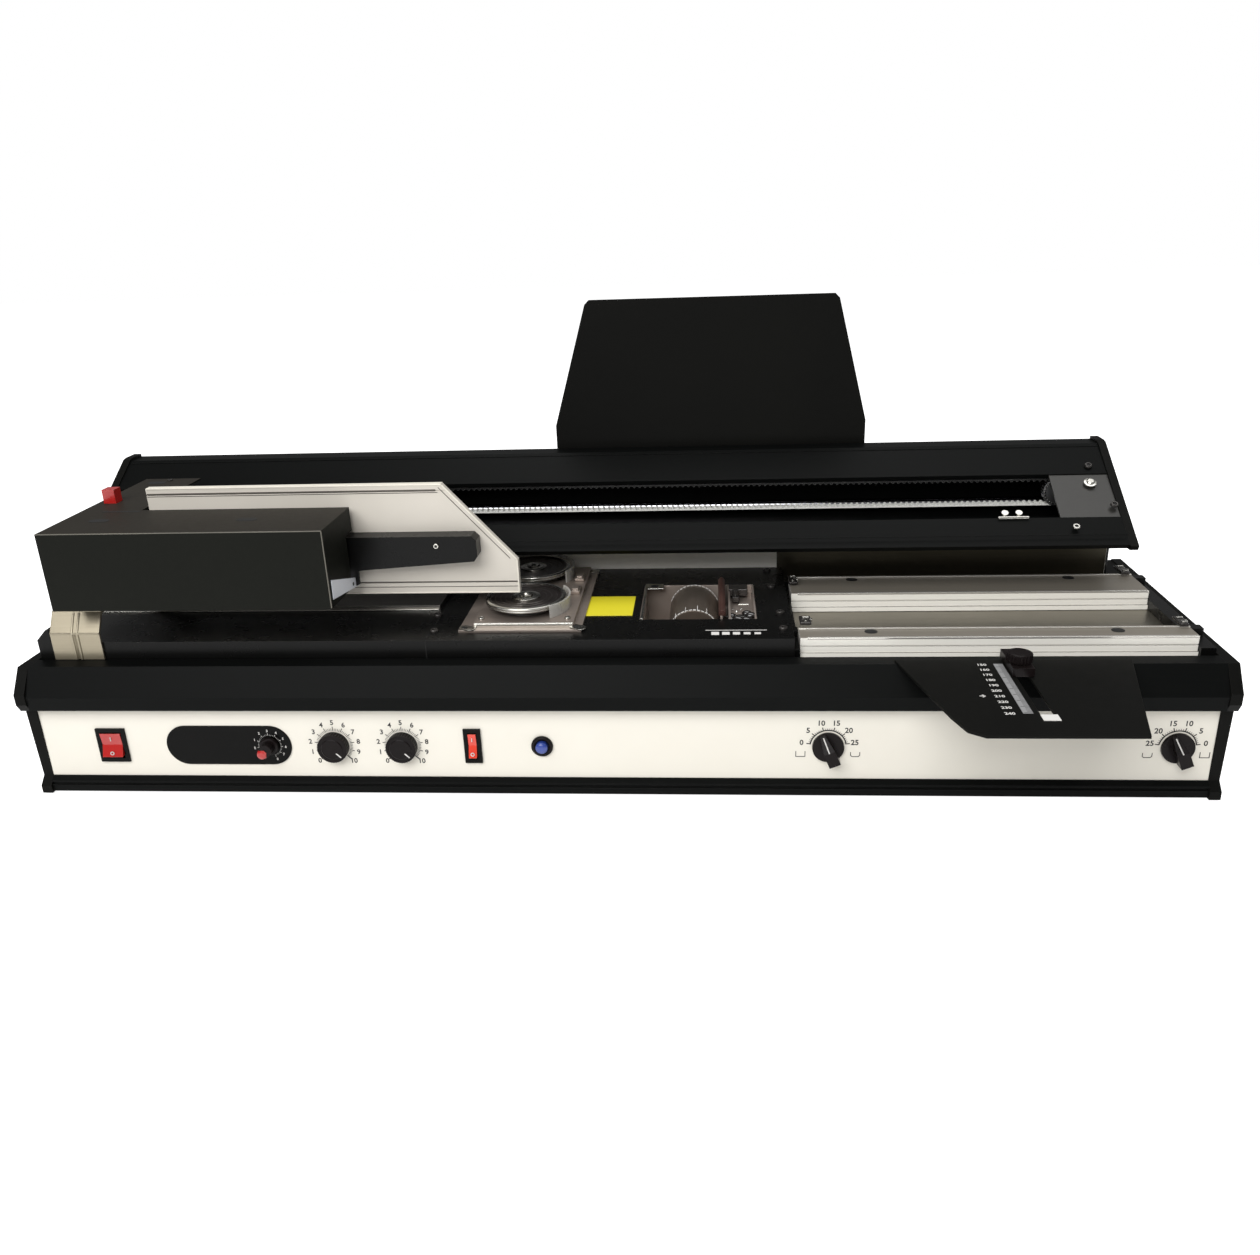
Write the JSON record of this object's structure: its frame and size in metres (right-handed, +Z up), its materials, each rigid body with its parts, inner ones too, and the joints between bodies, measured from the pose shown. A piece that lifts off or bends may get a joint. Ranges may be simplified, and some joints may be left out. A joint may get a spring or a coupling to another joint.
{
  "type": "perfect binding machine",
  "caption": "Desktop perfect binder: sliding book clamp on a rear beam, notching discs, heated glue roller, nipping jaws and a low base with a front control panel.",
  "frame": {"origin": "centre of the footprint on the surface it stands on", "axes": "+X along the machine to the right as seen from the control panel, +Y to the back, +Z up"},
  "size_m": [0.982, 0.388, 0.378],
  "materials": {
    "side_black": "satin black powder coat",
    "rail_black": "black anodised",
    "panel_cream": "cream paint",
    "deck_black": "semi-gloss black paint",
    "plate_steel": "brushed",
    "sheet_zinc": "zinc plated",
    "champagne": "champagne anodised",
    "wall_cream": "cream paint",
    "disc_steel": "ground steel",
    "guard_steel": "bright",
    "motor_grey": "satin",
    "tank_steel": "glue stained",
    "roller_steel": "knurled",
    "jaw_aluminium": "brushed",
    "bed_aluminium": "satin",
    "rod_chrome": "polished",
    "belt_white": "polyurethane",
    "bracket_grey": "satin",
    "cover_charcoal": "fine texture",
    "clamp_cream": "cream paint",
    "knob_black": "moulded",
    "red_plastic": "translucent",
    "blue_plastic": "moulded",
    "rubber": "moulded",
    "board_green": "circuit board"
  },
  "bodies": {
    "base": {"base_pan": "sheet_zinc", "rear_panel": "side_black", "left_side_plate": "side_black", "right_side_plate": "side_black", "front_rail": "rail_black", "bottom_rail": "rail_black", "front_panel": "panel_cream", "rubber_feet": "rubber", "left_deck": "deck_black", "levelling_plate": "plate_steel", "middle_deck": "deck_black", "carriage_rest": "champagne", "deck_walls": "wall_cream", "rear_shelf": "side_black", "notch_tray": "guard_steel", "notch_guards": "guard_steel", "notch_motors": "motor_grey", "glue_tank": "tank_steel", "glue_heater": "motor_grey", "glue_scraper": "tank_steel", "glue_motor": "motor_grey", "nip_bed": "bed_aluminium", "jaw_hooks": "knob_black", "guide_plate": "side_black", "beam": "rail_black", "beam_caps": "side_black", "beam_posts": "side_black", "guide_rods": "rod_chrome", "toothed_belt": "belt_white", "idler_bracket": "bracket_grey", "drive_motor": "motor_grey", "cover_tray": "side_black", "switch_frames": "knob_black", "control_board": "board_green", "power_inlet": "knob_black"},
    "carriage": {"carriage_block": "sheet_zinc", "carriage_cover": "cover_charcoal", "carriage_frame": "sheet_zinc", "rear_clamp_plate": "side_black", "clamp_motor": "motor_grey"},
    "front_clamp": {"front_clamp_plate": "clamp_cream", "clamp_arm": "side_black"},
    "red_button": {"carriage_button": "red_plastic"},
    "front_disc": {"front_notch_disc": "disc_steel"},
    "rear_disc": {"rear_notch_disc": "disc_steel"},
    "roller": {"glue_roller": "roller_steel"},
    "jaw_front": {"front_jaw": "jaw_aluminium"},
    "jaw_rear": {"rear_jaw": "jaw_aluminium"},
    "drive_wheel": {"drive_pulley": "sheet_zinc"},
    "idler_wheel": {"idler_pulley": "sheet_zinc"},
    "stop": {"guide_stop": "knob_black"},
    "stop_screw": {"stop_knob": "knob_black"},
    "power": {"power_rocker": "red_plastic"},
    "mode": {"mode_rocker": "red_plastic"},
    "start": {"start_button": "blue_plastic"},
    "temperature": {"temperature_knob": "red_plastic"},
    "pressure": {"pressure_knob": "knob_black"},
    "time": {"time_knob": "knob_black"},
    "spine_left": {"left_spine_knob": "knob_black"},
    "spine_right": {"right_spine_knob": "knob_black"}
  },
  "joints": [
    {"name": "carriage_travel", "type": "slide", "parent": "base", "child": "carriage", "axis": [1, 0, 0], "range_m": [0, 0.548]},
    {"name": "clamp_close", "type": "slide", "parent": "carriage", "child": "front_clamp", "axis": [0, 1, 0], "range_m": [0, 0.025]},
    {"name": "red_button_press", "type": "slide", "parent": "carriage", "child": "red_button", "axis": [0, 0, -1], "range_m": [0, 0.004], "stiffness_N_per_m": 400},
    {"name": "front_disc_spin", "type": "hinge", "parent": "base", "child": "front_disc", "pos_m": [-0.072, 0.012, 0.146], "axis": [0, 0, 1], "continuous": true},
    {"name": "rear_disc_spin", "type": "hinge", "parent": "base", "child": "rear_disc", "pos_m": [-0.078, 0.093, 0.146], "axis": [0, 0, 1], "continuous": true},
    {"name": "glue_roller_spin", "type": "hinge", "parent": "base", "child": "roller", "pos_m": [0.072, 0.0395, 0.113], "axis": [0, 1, 0], "continuous": true},
    {"name": "front_jaw_close", "type": "slide", "parent": "base", "child": "jaw_front", "axis": [0, 1, 0], "range_m": [0, 0.052]},
    {"name": "rear_jaw_close", "type": "slide", "parent": "base", "child": "jaw_rear", "axis": [0, -1, 0], "range_m": [0, 0.022]},
    {"name": "drive_pulley_turn", "type": "hinge", "parent": "base", "child": "drive_wheel", "pos_m": [-0.462, 0.135, 0.202], "axis": [0, -1, 0], "range_deg": [0, 2600]},
    {"name": "idler_pulley_turn", "type": "hinge", "parent": "base", "child": "idler_wheel", "pos_m": [0.402, 0.135, 0.202], "axis": [0, -1, 0], "range_deg": [0, 2600]},
    {"name": "guide_stop_slide", "type": "slide", "parent": "base", "child": "stop", "axis": [0, -1, 0], "range_m": [0, 0.057]},
    {"name": "stop_knob_turn", "type": "hinge", "parent": "stop", "child": "stop_screw", "pos_m": [0.321, -0.083, 0.128], "axis": [0, 0, 1], "range_deg": [-180, 180]},
    {"name": "power_rocker_tilt", "type": "hinge", "parent": "base", "child": "power", "pos_m": [-0.4217, -0.064, 0.0455], "axis": [1, 0, 0], "range_deg": [0, 12]},
    {"name": "mode_rocker_tilt", "type": "hinge", "parent": "base", "child": "mode", "pos_m": [-0.11062, -0.064, 0.0455], "axis": [1, 0, 0], "range_deg": [0, 12]},
    {"name": "start_press", "type": "slide", "parent": "base", "child": "start", "axis": [0, 1, 0], "range_m": [0, 0.003], "stiffness_N_per_m": 400},
    {"name": "temperature_turn", "type": "hinge", "parent": "base", "child": "temperature", "pos_m": [-0.28399, -0.07, 0.0455], "axis": [0, 1, 0], "range_deg": [-135, 135]},
    {"name": "pressure_turn", "type": "hinge", "parent": "base", "child": "pressure", "pos_m": [-0.22832, -0.07, 0.0455], "axis": [0, 1, 0], "range_deg": [-270, 0]},
    {"name": "time_turn", "type": "hinge", "parent": "base", "child": "time", "pos_m": [-0.1701, -0.07, 0.0455], "axis": [0, 1, 0], "range_deg": [-270, 0]},
    {"name": "left_spine_turn", "type": "hinge", "parent": "base", "child": "spine_left", "pos_m": [0.18099, -0.07, 0.0455], "axis": [0, 1, 0], "range_deg": [-58, 104]},
    {"name": "right_spine_turn", "type": "hinge", "parent": "base", "child": "spine_right", "pos_m": [0.454, -0.07, 0.0455], "axis": [0, 1, 0], "range_deg": [-58, 104]}
  ],
  "couplings": [
    {"joint": "drive_pulley_turn", "follows": "carriage_travel", "rad_per_m": 80},
    {"joint": "idler_pulley_turn", "follows": "carriage_travel", "rad_per_m": 80}
  ]
}
